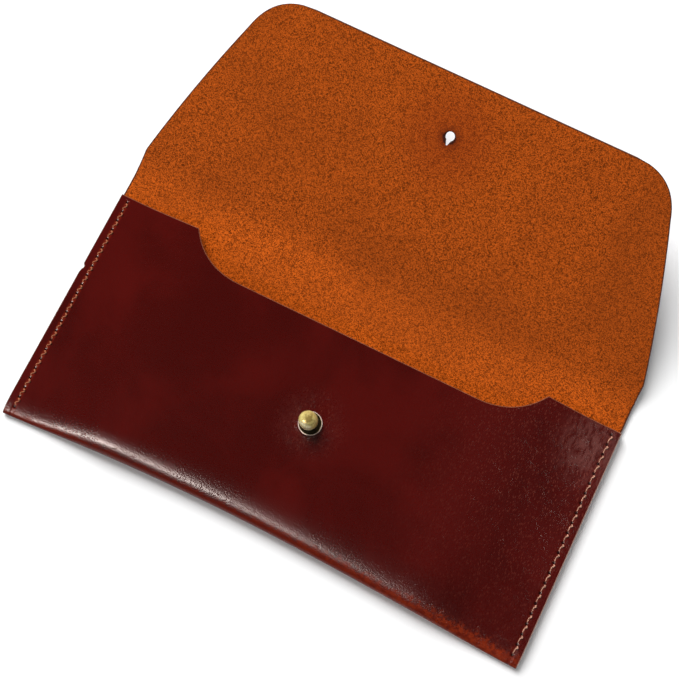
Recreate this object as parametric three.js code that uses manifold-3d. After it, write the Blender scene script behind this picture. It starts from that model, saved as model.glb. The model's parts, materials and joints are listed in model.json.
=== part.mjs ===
// A long leather wallet that lies open on its back, with its flap standing a little off the table.
// One hide makes the back, the bottom fold, the notched front, the spine and the flap.
// Each side is sewn with two threads, and a ball stud on the front buttons through the flap.
// Millimetres: X across the width, Y from the bottom fold towards the flap, Z up from the table.

import * as THREE from "three";
import { mergeVertices } from "three/addons/utils/BufferGeometryUtils.js";
import Module from "manifold-3d";

const wasm = await Module();
wasm.setup();

// Hide
const WIDTH = 195.6;
const LEATHER = 1.8; // thickness
const BACK_HEIGHT = 95.6; // bottom fold to the lower crease
const FRONT_HEIGHT = 88; // bottom fold to the front's top edge
const CREASE_GAP = 0.3; // between two parts of the hide that meet at a crease

// Pocket
const POCKET_GAP = 5; // between front and back, across the middle
const SEAM_MARGIN = 6.5; // glued strip inside each side edge
const GLUE_LINE = 0.3; // between front and back on that strip
const SIDE_RAMP = 36; // from the glued strip inwards to where the front lies level
const FOLD_BOW = 3.6; // how far the bottom fold draws in between its corners
const FOLD_BOW_SHIFT = -12; // its deepest place, from the middle
const FOLD_ROLL = 15; // how far the front takes to roll down to the bottom fold
const FOLD_UNDER = 4.5; // how far the back takes to roll up to the bottom fold
const FOLD_LEVEL = 0.42; // height of the fold's outermost line, as a share of the fold's height

// Thumb notch in the front's top edge
const NOTCH_WIDTH = 135.6;
const NOTCH_DEPTH = 12;
const NOTCH_SHIFT = 1.5; // its middle, from the wallet's middle
const NOTCH_SHOULDER = 22; // from the notch's end to where its floor is straight
const NOTCH_ENTRY = 7.5; // how far in the steep part of the shoulder aims

// Flap, which narrows from the full width
const FLAP_LIFT = THREE.MathUtils.degToRad(25); // how steeply it stands off the table
const FLAP_STRAIGHT = 3.4; // full width above the upper crease
const TIP_WIDTH = 151; // between the tip's corners before they are rounded
const TIP_BEYOND_HOLE = 20;
const CORNER_REACH = 15; // from a corner to where its rounding starts
const SIDE_SWELL = 0.8; // how far the narrowing sides bulge

// Ball stud, screwed together through the front
const STUD_HEIGHT = 42.7; // above the bottom fold
const FLANGE_DIAMETER = 8.4;
const FLANGE_THICKNESS = 0.9;
const FLANGE_BEVEL = 0.25;
const NECK_DIAMETER = 3.4;
const NECK_LENGTH = 1.6; // between the flange and the ball's underside
const NECK_FILLET = 0.5;
const BALL_DIAMETER = 6.9;
const SEAT_GAP = 0.1; // between a metal flange and the leather
const SCREW_HEAD_DIAMETER = 7.8;
const SCREW_HEAD_THICKNESS = 0.8;
const SCREW_SHANK_DIAMETER = 1.8;
const SCREW_BITE = 3.2; // how far the shank reaches into the stud
const SCREW_CLEARANCE = 0.3; // round the shank, and beyond its end
const SLOT_WIDTH = 0.9;
const SLOT_DEPTH = 0.4;

// Button hole in the flap
const HOLE_CLEARANCE = 0.3; // round the stud's neck
const SLIT_REACH = 4.4; // from the hole's centre towards the crease
const SLIT_MOUTH = 1.8; // the slit's width where it leaves the hole
const SLIT_END = 0.4; // and at its far end
const FLAP_CLEARANCE = 0.3; // between the buttoned flap and the stud's flange

// Side seams
const SEAM_INSET = 3.2; // from the side edge
const SEAM_END = 2.2; // from the front's top edge to the last stitch hole
const SEAM_START = 3.5; // from the bottom fold to the first stitch hole
const STITCH_LENGTH = 3.8;
const STITCH_SLANT = 0.3; // how far each end of a stitch lies off the seam's line
const STITCH_HOLE_DIAMETER = 1.9;
const THREAD_DIAMETER = 0.64;
const THREAD_CLEARANCE = 0.3;
const GROOVE_WIDTH = 1.7;
const FRONT_GROOVE_DEPTH = 0.6;
const THREAD_OFF_TABLE = 0.06;
const THREAD_DIP = 0.4; // spare height between the two threads in a hole
const LEG_SPACING = 0.7; // between the two legs of a thread in a hole

// Fineness of the curves
const SECTIONS = 22; // across the pocket
const FOLD_STEPS = 5; // in each quarter of the bottom fold
const OUTLINE_STEPS = 10;
const TURNED_STEPS = 24;
const BALL_STEPS = 8;
const HOLE_SIDES = 8;
const THREAD_SIDES = 5;

// Sizes that follow from those above
const HALF_WIDTH = WIDTH / 2;
const POCKET_HALF_WIDTH = HALF_WIDTH - SEAM_MARGIN;
const SEAM_THICKNESS = 2 * LEATHER + GLUE_LINE;
const SPINE_HEIGHT = LEATHER + POCKET_GAP + FLANGE_THICKNESS + FLAP_CLEARANCE;
const HOLE_HEIGHT = BACK_HEIGHT - STUD_HEIGHT; // above the upper crease, over the stud when shut
const FLAP_HEIGHT = HOLE_HEIGHT + TIP_BEYOND_HOLE;
const CREASE_ANGLE = FLAP_LIFT / 2; // each crease takes half of the lift

// Heights of the two threads of a seam: one on the front, one in a groove in the back
const FRONT_THREAD = SEAM_THICKNESS - FRONT_GROOVE_DEPTH + THREAD_CLEARANCE + THREAD_DIAMETER / 2;
const BACK_THREAD = THREAD_OFF_TABLE + THREAD_DIAMETER / 2;
const BACK_GROOVE_DEPTH = BACK_THREAD + THREAD_DIAMETER / 2 + THREAD_CLEARANCE;
const THREADS_MEET = (FRONT_THREAD + BACK_THREAD) / 2;
const FRONT_DIP = THREADS_MEET + (THREAD_DIAMETER + THREAD_DIP) / 2;
const BACK_DIP = THREADS_MEET - (THREAD_DIAMETER + THREAD_DIP) / 2;

// Turns a closed geometry into a solid.
function solidOf(geometry) {
  const bare = geometry.clone();
  bare.deleteAttribute("normal");
  bare.deleteAttribute("uv");
  const merged = mergeVertices(bare, 1e-4);
  return new wasm.Manifold(
    new wasm.Mesh({
      numProp: 3,
      vertProperties: merged.attributes.position.array,
      triVerts: new Uint32Array(merged.index.array),
    }),
  );
}

// Turns a solid back into a geometry.
function geometryOf(solid) {
  const { numProp, vertProperties, triVerts } = solid.getMesh();
  const vertices = new THREE.InterleavedBuffer(vertProperties, numProp);
  const geometry = new THREE.BufferGeometry();
  geometry.setAttribute("position", new THREE.InterleavedBufferAttribute(vertices, 3, 0));
  geometry.setIndex(new THREE.BufferAttribute(triVerts, 1));
  const flat = geometry.toNonIndexed();
  flat.computeVertexNormals();
  return flat;
}

// Skins a row of closed sections, which all have as many points, and closes both ends.
function loft(sections) {
  const count = sections[0].length;
  const positions = sections.flat();
  const indices = [];
  for (let s = 0; s + 1 < sections.length; s++) {
    for (let i = 0; i < count; i++) {
      const a = s * count + i;
      const b = s * count + ((i + 1) % count);
      indices.push(a, b, b + count, a, b + count, a + count);
    }
  }
  for (const [start, ahead] of [[0, false], [(sections.length - 1) * count, true]]) {
    const section = positions.slice(start, start + count);
    const middle = section.reduce((sum, p) => sum.add(p), new THREE.Vector3()).divideScalar(count);
    const hub = positions.push(middle) - 1;
    for (let i = 0; i < count; i++) {
      const a = start + i;
      const b = start + ((i + 1) % count);
      indices.push(hub, ahead ? a : b, ahead ? b : a);
    }
  }
  const geometry = new THREE.BufferGeometry().setFromPoints(positions);
  geometry.setIndex(indices);
  return geometry;
}

// How far the front has risen off the glued strip at x, from 0 to 1.
function rise(x) {
  return THREE.MathUtils.smoothstep(POCKET_HALF_WIDTH - Math.abs(x), 0, SIDE_RAMP);
}

// Height of the pocket's outside at x, on the level part of the front.
function pocketTop(x) {
  return SEAM_THICKNESS + (POCKET_GAP - GLUE_LINE) * rise(x);
}

// Place of the bottom fold's outermost line at x: the fuller the pocket, the further in.
function foldLine(x) {
  const across = x / HALF_WIDTH;
  const shifted = (x - FOLD_BOW_SHIFT * (1 - across ** 2)) / HALF_WIDTH;
  return FOLD_BOW * Math.max(0, 1 - shifted ** 2) ** 1.3;
}

// Section of the pocket at x: the front, round the bottom fold, and the back, as far as yEnd.
// It lies inside the pocket's outside by the inset.
function pocketSection(x, inset, yEnd) {
  const top = pocketTop(x) - inset;
  const fold = foldLine(x) + inset;
  const level = inset + (top - inset) * FOLD_LEVEL;
  const over = THREE.MathUtils.lerp(LEATHER, FOLD_ROLL, rise(x)) - inset / 2;
  const under = THREE.MathUtils.lerp(LEATHER, FOLD_UNDER, rise(x)) - inset / 2;
  const points = [new THREE.Vector3(x, yEnd, top)];
  for (let i = 0; i <= 2 * FOLD_STEPS; i++) {
    const turn = (Math.PI / 2) * (1 + i / FOLD_STEPS);
    const upper = i < FOLD_STEPS;
    const reach = upper ? over : under;
    const height = upper ? top - level : level - inset;
    points.push(
      new THREE.Vector3(x, fold + reach * (1 + Math.cos(turn)), level + height * Math.sin(turn)),
    );
  }
  points.push(new THREE.Vector3(x, yEnd, inset));
  return points;
}

// The stations across the inside of the pocket, where its sections stand.
function stations() {
  return Array.from(
    { length: SECTIONS + 1 },
    (_, i) => POCKET_HALF_WIDTH * ((2 * i) / SECTIONS - 1),
  );
}

// The whole of the folded hide below the lower crease, before it is hollowed and cut.
function foldedHide() {
  const end = BACK_HEIGHT - CREASE_GAP / 2;
  const across = [-HALF_WIDTH, ...stations(), HALF_WIDTH];
  return solidOf(loft(across.map((x) => pocketSection(x, 0, end))));
}

// The space between front and back, which runs on past the front's top edge.
function pocketSpace() {
  return solidOf(loft(stations().map((x) => pocketSection(x, LEATHER, BACK_HEIGHT + LEATHER))));
}

// Everything above the back and beyond the front's top edge, with its thumb notch.
function aboveFront() {
  const beyond = 2 * LEATHER;
  const left = NOTCH_SHIFT - NOTCH_WIDTH / 2;
  const right = NOTCH_SHIFT + NOTCH_WIDTH / 2;
  const floor = FRONT_HEIGHT - NOTCH_DEPTH;
  const outline = new THREE.Shape();
  outline.moveTo(-HALF_WIDTH - beyond, FRONT_HEIGHT);
  outline.lineTo(left, FRONT_HEIGHT);
  outline.quadraticCurveTo(left + NOTCH_ENTRY, floor, left + NOTCH_SHOULDER, floor);
  outline.lineTo(right - NOTCH_SHOULDER, floor);
  outline.quadraticCurveTo(right - NOTCH_ENTRY, floor, right, FRONT_HEIGHT);
  outline.lineTo(HALF_WIDTH + beyond, FRONT_HEIGHT);
  outline.lineTo(HALF_WIDTH + beyond, BACK_HEIGHT + beyond);
  outline.lineTo(-HALF_WIDTH - beyond, BACK_HEIGHT + beyond);
  const geometry = new THREE.ExtrudeGeometry(outline, {
    depth: 2 * pocketTop(0),
    bevelEnabled: false,
    curveSegments: OUTLINE_STEPS,
  });
  return solidOf(geometry.translate(0, 0, LEATHER));
}

// The stitch holes of one seam, from the bottom fold up, along Y.
function stitchHoles() {
  const length = FRONT_HEIGHT - SEAM_END - SEAM_START;
  const count = Math.round(length / STITCH_LENGTH);
  return Array.from({ length: count + 1 }, (_, i) => SEAM_START + (length * i) / count);
}

// A groove along the seam at x, between two heights.
function groove(x, low, high) {
  const holes = stitchHoles();
  const first = holes[0] - STITCH_HOLE_DIAMETER / 2;
  const last = holes[holes.length - 1] + STITCH_HOLE_DIAMETER / 2;
  const box = new THREE.BoxGeometry(GROOVE_WIDTH, last - first, high - low);
  return solidOf(box.translate(x, (first + last) / 2, (low + high) / 2));
}

// The grooves and stitch holes that the seam at x cuts into the hide.
function seamCuts(x) {
  const spare = 2 * LEATHER;
  let cuts = groove(x, SEAM_THICKNESS - FRONT_GROOVE_DEPTH, SEAM_THICKNESS + spare);
  cuts = cuts.add(groove(x, -spare, BACK_GROOVE_DEPTH));
  for (const y of stitchHoles()) {
    const radius = STITCH_HOLE_DIAMETER / 2;
    const hole = new THREE.CylinderGeometry(radius, radius, 2 * SEAM_THICKNESS, HOLE_SIDES);
    cuts = cuts.add(solidOf(hole.rotateX(Math.PI / 2).translate(x, y, SEAM_THICKNESS / 2)));
  }
  return cuts;
}

// The hole in the front that the stud's screw passes through.
function screwHole() {
  const radius = SCREW_SHANK_DIAMETER / 2 + SCREW_CLEARANCE;
  const height = 2 * LEATHER;
  const hole = new THREE.CylinderGeometry(radius, radius, height, TURNED_STEPS);
  return solidOf(hole.rotateX(Math.PI / 2).translate(0, STUD_HEIGHT, pocketTop(0) - LEATHER / 2));
}

function pocketGeometry() {
  const solid = foldedHide()
    .subtract(pocketSpace())
    .subtract(aboveFront())
    .subtract(seamCuts(-HALF_WIDTH + SEAM_INSET))
    .subtract(seamCuts(HALF_WIDTH - SEAM_INSET))
    .subtract(screwHole());
  return geometryOf(solid);
}

// A path through given points, straight from each to the next.
class PointPath extends THREE.Curve {
  constructor(points) {
    super();
    this.points = points;
  }

  getUtoTmapping(u) {
    return u;
  }

  getPoint(t, target = new THREE.Vector3()) {
    const place = t * (this.points.length - 1);
    const i = Math.min(Math.floor(place), this.points.length - 2);
    return target.lerpVectors(this.points[i], this.points[i + 1], place - i);
  }
}

// One thread of the seam at x. It runs at one height from hole to hole, and dips into each hole.
function threadGeometry(x, height, dip) {
  const holes = stitchHoles();
  const leg = LEG_SPACING / 2;
  const points = [new THREE.Vector3(x, holes[0], dip)];
  for (let i = 0; i + 1 < holes.length; i++) {
    points.push(new THREE.Vector3(x - STITCH_SLANT, holes[i] + leg, height));
    points.push(new THREE.Vector3(x + STITCH_SLANT, holes[i + 1] - leg, height));
    points.push(new THREE.Vector3(x, holes[i + 1], dip));
  }
  const section = new THREE.Shape();
  for (let i = 0; i < THREAD_SIDES; i++) {
    const turn = (2 * Math.PI * i) / THREAD_SIDES;
    const place = new THREE.Vector2(Math.cos(turn), Math.sin(turn)).multiplyScalar(THREAD_DIAMETER / 2);
    if (i === 0) section.moveTo(place.x, place.y);
    else section.lineTo(place.x, place.y);
  }
  return new THREE.ExtrudeGeometry(section, {
    steps: points.length - 1,
    extrudePath: new PointPath(points),
  });
}

// The flap's button hole: round, with a slit that narrows towards the crease.
function buttonHole() {
  const radius = NECK_DIAMETER / 2 + HOLE_CLEARANCE;
  const slit = SLIT_END / 2;
  const open = Math.asin(SLIT_MOUTH / 2 / radius);
  const down = -Math.PI / 2;
  const hole = new THREE.Path();
  hole.absarc(0, HOLE_HEIGHT, radius, down + open, down - open + 2 * Math.PI, false);
  hole.lineTo(-slit, HOLE_HEIGHT - SLIT_REACH);
  hole.lineTo(slit, HOLE_HEIGHT - SLIT_REACH);
  hole.closePath();
  return hole;
}

// The flap, flat, with the upper crease along X at the top of its leather.
function flapGeometry() {
  const start = CREASE_GAP / 2;
  const corner = new THREE.Vector2(TIP_WIDTH / 2, FLAP_HEIGHT);
  const shoulder = new THREE.Vector2(HALF_WIDTH, FLAP_STRAIGHT);
  const side = shoulder.clone().sub(corner).normalize();
  const rounding = corner.clone().addScaledVector(side, CORNER_REACH);
  const swell = shoulder.clone().lerp(rounding, 0.5);
  swell.addScaledVector(new THREE.Vector2(-side.y, side.x), 2 * SIDE_SWELL);
  const outline = new THREE.Shape();
  outline.moveTo(-HALF_WIDTH, start);
  outline.lineTo(HALF_WIDTH, start);
  outline.lineTo(shoulder.x, shoulder.y);
  outline.quadraticCurveTo(swell.x, swell.y, rounding.x, rounding.y);
  outline.quadraticCurveTo(corner.x, corner.y, corner.x - CORNER_REACH, corner.y);
  outline.lineTo(CORNER_REACH - corner.x, corner.y);
  outline.quadraticCurveTo(-corner.x, corner.y, -rounding.x, rounding.y);
  outline.quadraticCurveTo(-swell.x, swell.y, -shoulder.x, shoulder.y);
  outline.holes.push(buttonHole());
  const geometry = new THREE.ExtrudeGeometry(outline, {
    depth: LEATHER,
    bevelEnabled: false,
    curveSegments: OUTLINE_STEPS,
  });
  return geometry.translate(0, 0, -LEATHER);
}

// The spine, flat, with the lower crease along X at the top of its leather.
function spineGeometry() {
  const length = SPINE_HEIGHT - CREASE_GAP;
  return new THREE.BoxGeometry(WIDTH, length, LEATHER).translate(0, SPINE_HEIGHT / 2, -LEATHER / 2);
}

// A turned solid about Z, from its outline as pairs of radius and height.
function turned(outline) {
  const points = outline.map(([radius, height]) => new THREE.Vector2(radius, height));
  return new THREE.LatheGeometry(points, TURNED_STEPS).rotateX(Math.PI / 2);
}

// The stud: a flange, a neck and a ball, with a blind hole for the screw. Its foot is at z = 0.
function studGeometry() {
  const bore = SCREW_SHANK_DIAMETER / 2 + SCREW_CLEARANCE;
  const boreEnd = SCREW_BITE + SCREW_CLEARANCE;
  const flange = FLANGE_DIAMETER / 2;
  const neck = NECK_DIAMETER / 2;
  const ball = BALL_DIAMETER / 2;
  const ballStart = Math.asin(neck / ball);
  const ballCentre = FLANGE_THICKNESS + NECK_LENGTH + ball * Math.cos(ballStart);
  const outline = [
    [0, boreEnd],
    [bore, boreEnd],
    [bore, 0],
    [flange - FLANGE_BEVEL, 0],
    [flange, FLANGE_BEVEL],
    [flange, FLANGE_THICKNESS - FLANGE_BEVEL],
    [flange - FLANGE_BEVEL, FLANGE_THICKNESS],
    [neck + NECK_FILLET, FLANGE_THICKNESS],
    [neck, FLANGE_THICKNESS + NECK_FILLET],
  ];
  for (let i = 0; i < BALL_STEPS; i++) {
    const turn = THREE.MathUtils.lerp(ballStart, Math.PI, i / BALL_STEPS);
    outline.push([ball * Math.sin(turn), ballCentre - ball * Math.cos(turn)]);
  }
  outline.push([0, ballCentre + ball]);
  return turned(outline);
}

// The screw, from inside the pocket: a slotted flat head and a shank. Its shank's end is on top.
function screwGeometry() {
  const head = SCREW_HEAD_DIAMETER / 2;
  const shank = SCREW_SHANK_DIAMETER / 2;
  const end = SCREW_HEAD_THICKNESS + SEAT_GAP + LEATHER + SEAT_GAP + SCREW_BITE;
  const body = solidOf(
    turned([
      [0, 0],
      [head, 0],
      [head, SCREW_HEAD_THICKNESS],
      [shank, SCREW_HEAD_THICKNESS],
      [shank, end],
      [0, end],
    ]),
  );
  const slot = new THREE.BoxGeometry(2 * SCREW_HEAD_DIAMETER, SLOT_WIDTH, 2 * SLOT_DEPTH);
  return geometryOf(body.subtract(solidOf(slot)));
}

// Materials
const hide = { color: 0x4a1512, roughness: 0.35, metalness: 0 };
const flesh = { color: 0xa5521c, roughness: 0.9, metalness: 0 };
const brass = { color: 0x8c7440, roughness: 0.35, metalness: 1 };
const thread = { color: 0xa9704a, roughness: 0.7, metalness: 0 };

function addMesh(parent, name, geometry, finish, x = 0, y = 0, z = 0) {
  const mesh = new THREE.Mesh(geometry, new THREE.MeshStandardMaterial(finish));
  mesh.name = name;
  mesh.position.set(x, y, z);
  parent.add(mesh);
}

// A crease: what is put in it turns about X at the top of the leather.
function addCrease(parent, y, z) {
  const crease = new THREE.Group();
  crease.position.set(0, y, z);
  crease.rotation.x = CREASE_ANGLE;
  parent.add(crease);
  return crease;
}

const wallet = new THREE.Group();
addMesh(wallet, "pocket", pocketGeometry(), hide);

for (const [side, x] of [["left", SEAM_INSET - HALF_WIDTH], ["right", HALF_WIDTH - SEAM_INSET]]) {
  addMesh(wallet, side + "_front_thread", threadGeometry(x, FRONT_THREAD, FRONT_DIP), thread);
  addMesh(wallet, side + "_back_thread", threadGeometry(x, BACK_THREAD, BACK_DIP), thread);
}

const screwZ = pocketTop(0) - LEATHER - SEAT_GAP - SCREW_HEAD_THICKNESS;
addMesh(wallet, "stud", studGeometry(), brass, 0, STUD_HEIGHT, pocketTop(0) + SEAT_GAP);
addMesh(wallet, "stud_screw", screwGeometry(), brass, 0, STUD_HEIGHT, screwZ);

const lowerCrease = addCrease(wallet, BACK_HEIGHT, LEATHER);
addMesh(lowerCrease, "spine", spineGeometry(), flesh);
const upperCrease = addCrease(lowerCrease, SPINE_HEIGHT, 0);
addMesh(upperCrease, "flap", flapGeometry(), flesh);

// The origin is on the table, under the middle of the open wallet.
const box = new THREE.Box3().setFromObject(wallet, true);
const middle = box.getCenter(new THREE.Vector3());
wallet.position.set(-middle.x, -middle.y, -box.min.z);

export default wallet;
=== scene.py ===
"""Looks of a long leather wallet that lies open: hide, seams, ball stud, and the stage it stands on."""

import json
import math

import bpy
import numpy as np
from bpy.props import FloatProperty, FloatVectorProperty, PointerProperty
from bpy.types import Operator, Panel, PropertyGroup
from mathutils import Matrix, Vector


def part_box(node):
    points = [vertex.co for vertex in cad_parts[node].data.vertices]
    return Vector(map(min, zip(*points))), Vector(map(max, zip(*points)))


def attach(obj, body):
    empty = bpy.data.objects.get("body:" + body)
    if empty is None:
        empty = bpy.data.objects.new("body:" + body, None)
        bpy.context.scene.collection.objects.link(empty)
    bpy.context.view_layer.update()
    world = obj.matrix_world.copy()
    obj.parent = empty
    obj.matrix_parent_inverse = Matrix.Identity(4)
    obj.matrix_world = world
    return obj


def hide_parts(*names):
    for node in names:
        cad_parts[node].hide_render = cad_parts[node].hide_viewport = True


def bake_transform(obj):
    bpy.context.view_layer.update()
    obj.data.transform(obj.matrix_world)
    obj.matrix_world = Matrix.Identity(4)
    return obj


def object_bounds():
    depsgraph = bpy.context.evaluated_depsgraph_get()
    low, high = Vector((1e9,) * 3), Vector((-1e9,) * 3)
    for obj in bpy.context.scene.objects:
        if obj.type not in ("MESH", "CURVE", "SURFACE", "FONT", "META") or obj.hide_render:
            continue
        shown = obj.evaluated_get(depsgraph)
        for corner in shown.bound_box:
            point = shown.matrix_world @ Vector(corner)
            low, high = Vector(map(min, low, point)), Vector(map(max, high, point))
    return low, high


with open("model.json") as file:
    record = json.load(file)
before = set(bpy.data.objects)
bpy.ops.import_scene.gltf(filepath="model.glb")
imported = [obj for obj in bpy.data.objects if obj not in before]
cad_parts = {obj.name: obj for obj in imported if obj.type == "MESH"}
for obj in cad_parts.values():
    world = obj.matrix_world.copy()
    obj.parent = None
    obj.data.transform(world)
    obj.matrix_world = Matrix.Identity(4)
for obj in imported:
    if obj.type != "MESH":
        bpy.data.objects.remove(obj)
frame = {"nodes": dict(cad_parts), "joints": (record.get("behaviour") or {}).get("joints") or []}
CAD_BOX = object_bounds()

bl_info = {
    "name": "Flap wallet",
    "version": (1, 0, 0),
    "blender": (4, 5, 0),
    "location": "View3D > Sidebar > Wallet",
    "description": "Builds the leather, seams, stud and stage of an open flap wallet",
    "category": "Add Mesh",
}

MM = 0.001
PHOTO_SIZE = (679, 685)

# The hide, from the frame's own boxes and joints
JOINTS = {joint["name"]: joint for joint in frame["joints"]}
LOWER_CREASE = Vector(JOINTS["lower_crease"]["pos_m"])
UPPER_CREASE = Vector(JOINTS["upper_crease"]["pos_m"])
POCKET_LOW, POCKET_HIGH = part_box("pocket")
STUD_LOW, STUD_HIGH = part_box("stud")
HALF_WIDTH = float(POCKET_HIGH[0])
FOLD_Y = float(POCKET_LOW[1])  # the bottom fold's outermost place
LEATHER = float(LOWER_CREASE.z)
SEAT_GAP = 0.1 * MM
FRONT_TOP = float(STUD_LOW[2]) - SEAT_GAP  # height of the level part of the front
SPINE = (UPPER_CREASE - LOWER_CREASE).length
CREASE_ANGLE = math.atan2(UPPER_CREASE.z - LOWER_CREASE.z, UPPER_CREASE.y - LOWER_CREASE.y)
FLAP_LIFT = 2 * CREASE_ANGLE
STUD_PLACE = Vector((0, (STUD_LOW[1] + STUD_HIGH[1]) / 2, FRONT_TOP))
HOLE_HEIGHT = LOWER_CREASE.y - STUD_PLACE.y
FLAP_TURN = Matrix.Rotation(FLAP_LIFT, 3, "X")
HOLE_PLACE = UPPER_CREASE + FLAP_TURN @ Vector((0, HOLE_HEIGHT, -LEATHER / 2))

# Sizes of the hide that the frame doesn't hold
FRONT_HEIGHT = 88 * MM
SEAM_MARGIN = 6.5 * MM
SEAM_THICKNESS = 3.9 * MM
SIDE_RAMP = 36 * MM
FOLD_BOW = 3.6 * MM
FOLD_BOW_SHIFT = -12 * MM
FOLD_ROLL = 15 * MM
SEAM_ROLL = 9 * MM
FOLD_UNDER = 4.5 * MM
FOLD_LEVEL = 0.42
NOTCH_WIDTH = 135.6 * MM
NOTCH_DEPTH = 12 * MM
NOTCH_SHIFT = 1.5 * MM
NOTCH_SHOULDER = 22 * MM
NOTCH_ENTRY = 7.5 * MM
FLAP_STRAIGHT = 3.4 * MM
TIP_WIDTH = 151 * MM
TIP_BEYOND_HOLE = 20 * MM
CORNER_REACH = 15 * MM
SIDE_SWELL = 0.8 * MM
CREASE_REACH = 4 * MM  # how far each crease's bend spreads
WAVE_FADE = 12 * MM  # the front's unevenness fades out this far above the fold's roll
LAYER_GAP = 0.15 * MM
SHARP_EDGE = 0.01 * MM
NICK_PLACE = 58 * MM
NICK_DEPTH = 0.9 * MM
NICK_WIDTH = 0.8 * MM

# Button hole
HOLE_RADIUS = 1.7 * MM
SLIT_REACH = 3.3 * MM
SLIT_MOUTH = 1.9 * MM
SLIT_END = 0.6 * MM

# Seams
SEAM_INSET = 3.2 * MM
SEAM_START = 3.5 * MM
SEAM_END = 2.2 * MM
STITCH_COUNT = 22
THREAD_RADIUS = 0.32 * MM
PLY_PITCH = 1.5 * MM

# The stud's post stands off upright by this angle
STUD_LEAN = math.radians(8.5)

# Wear and stains, and painted light and shade (sheen, highlights, pit shade), as linear colours
FOLD_ORANGE = (0.27, 0.027, 0.0050, 1)
SPECK_RED = (0.20, 0.042, 0.026, 1)
# painted sheen: greyish colour that stands in for a reflection at the right seam's top
PAINTED_CORNER_SHEEN = (0.15, 0.045, 0.038, 1)
# painted shade in the stitch pits
PIT_SHADE = (0.006, 0.002, 0.002, 1)
FLESH_ZONE = (0.20, 0.036, 0.004, 1)
HOLE_STAINS = (  # from, to, amount, colour
    (4 * MM, 26 * MM, 0.4, (0.22, 0.026, 0.004, 1)),
    (2.8 * MM, 6.0 * MM, 0.6, (0.13, 0.018, 0.004, 1)),
    (2.6 * MM, 3.2 * MM, 0.9, (0.03, 0.009, 0.006, 1)),
)
RIM_DYE = (0.035, 0.012, 0.006, 1)
EDGE_DARK = ((0.045, 0.010, 0.006, 1), (0.14, 0.035, 0.015, 1))
EDGE_PALE = ((0.30, 0.17, 0.13, 1), (0.56, 0.38, 0.31, 1))
EDGE_TAN = ((0.07, 0.016, 0.008, 1), (0.30, 0.10, 0.05, 1))
LEFT_THREAD = (0.34, 0.095, 0.034, 1)
BRASS_TARNISH = (0.26, 0.155, 0.03, 1)
# painted highlight on the ball's near side
BRASS_PAINTED_HIGHLIGHT = (1, 0.93, 0.62, 1)
CUP_DARK = (0.02, 0.014, 0.006, 1)
# painted glint on the cup's raised ring
RING_PAINTED_GLINT = (0.95, 0.74, 0.66, 1)

# The camera, at the photograph's angle
FOCAL_PIXELS = 1299
VIEW_AHEAD = Vector((-0.08381, 0.19999, -0.97621))
VIEW_UP = Vector((-0.43316, 0.87495, 0.21643))
CAMERA_X, CAMERA_Y, CAMERA_Z = 34.13 * MM, -17.30 * MM, 447.55 * MM

# Light that the world and the floor add
WORLD_LIGHT = 0.21
WORLD_MIRRORED = 0.01
FLOOR_GLOW = 0.07


class WalletSettings(PropertyGroup):
    grain_colour: FloatVectorProperty(
        name="Grain colour", description="Dyed outside of the hide", subtype="COLOR", size=3,
        default=(0.062, 0.0026, 0.0018), min=0, max=1,
    )
    burnish_colour: FloatVectorProperty(
        name="Burnish colour", description="Rubbed, redder places on the folds", subtype="COLOR",
        size=3, default=(0.14, 0.010, 0.0032), min=0, max=1,
    )
    flesh_colour: FloatVectorProperty(
        name="Flesh colour", description="Suede inside of the hide", subtype="COLOR", size=3,
        default=(0.345, 0.062, 0.0050), min=0, max=1,
    )
    thread_colour: FloatVectorProperty(
        name="Thread colour", description="Waxed thread of the side seams", subtype="COLOR",
        size=3, default=(0.50, 0.25, 0.17), min=0, max=1,
    )
    brass_colour: FloatVectorProperty(
        name="Brass colour", description="Metal of the stud", subtype="COLOR", size=3,
        default=(0.84, 0.68, 0.24), min=0, max=1,
    )
    edge_round: FloatProperty(
        name="Edge rounding", description="Radius worn onto the leather's cut edges",
        subtype="DISTANCE", default=0.3 * MM, min=0, max=0.35 * MM,
    )
    front_waves: FloatProperty(
        name="Front waves", description="Height of the soft unevenness of the front",
        subtype="DISTANCE", default=0.12 * MM, min=0, max=1 * MM,
    )


def settings():
    """The sizes and colours that the panel shows."""
    return bpy.context.scene.wallet_settings


def smoothstep(value, low, high):
    """0 below the low value, 1 above the high one, and a smooth cubic step between them."""
    t = np.clip((value - low) / (high - low), 0, 1)
    return t * t * (3 - 2 * t)


def add_object(name, points, faces):
    """Makes a mesh object at the origin from an array of points and an array of faces."""
    mesh = bpy.data.meshes.new(name)
    mesh.from_pydata(points.reshape(-1, 3), [], faces)
    mesh.validate()
    obj = bpy.data.objects.new(name, mesh)
    bpy.context.scene.collection.objects.link(obj)
    mesh.shade_smooth()
    return obj


def grid_faces(rows, columns, first=0, closed=False):
    """Quads of a grid of points, whose last column meets the first where it is closed."""
    last = columns if closed else columns - 1
    row, column = np.meshgrid(np.arange(rows - 1), np.arange(last), indexing="ij")
    after = (column + 1) % columns
    here, below = row * columns, (row + 1) * columns
    quads = np.stack([here + column, here + after, below + after, below + column], -1)
    return quads.reshape(-1, 4) + first


def rim(rows, columns):
    """Indices of a grid's outermost points, once round."""
    index = np.arange(rows * columns).reshape(rows, columns)
    return np.concatenate([index[0, :-1], index[:-1, -1], index[-1, :0:-1], index[:0:-1, 0]])


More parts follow.
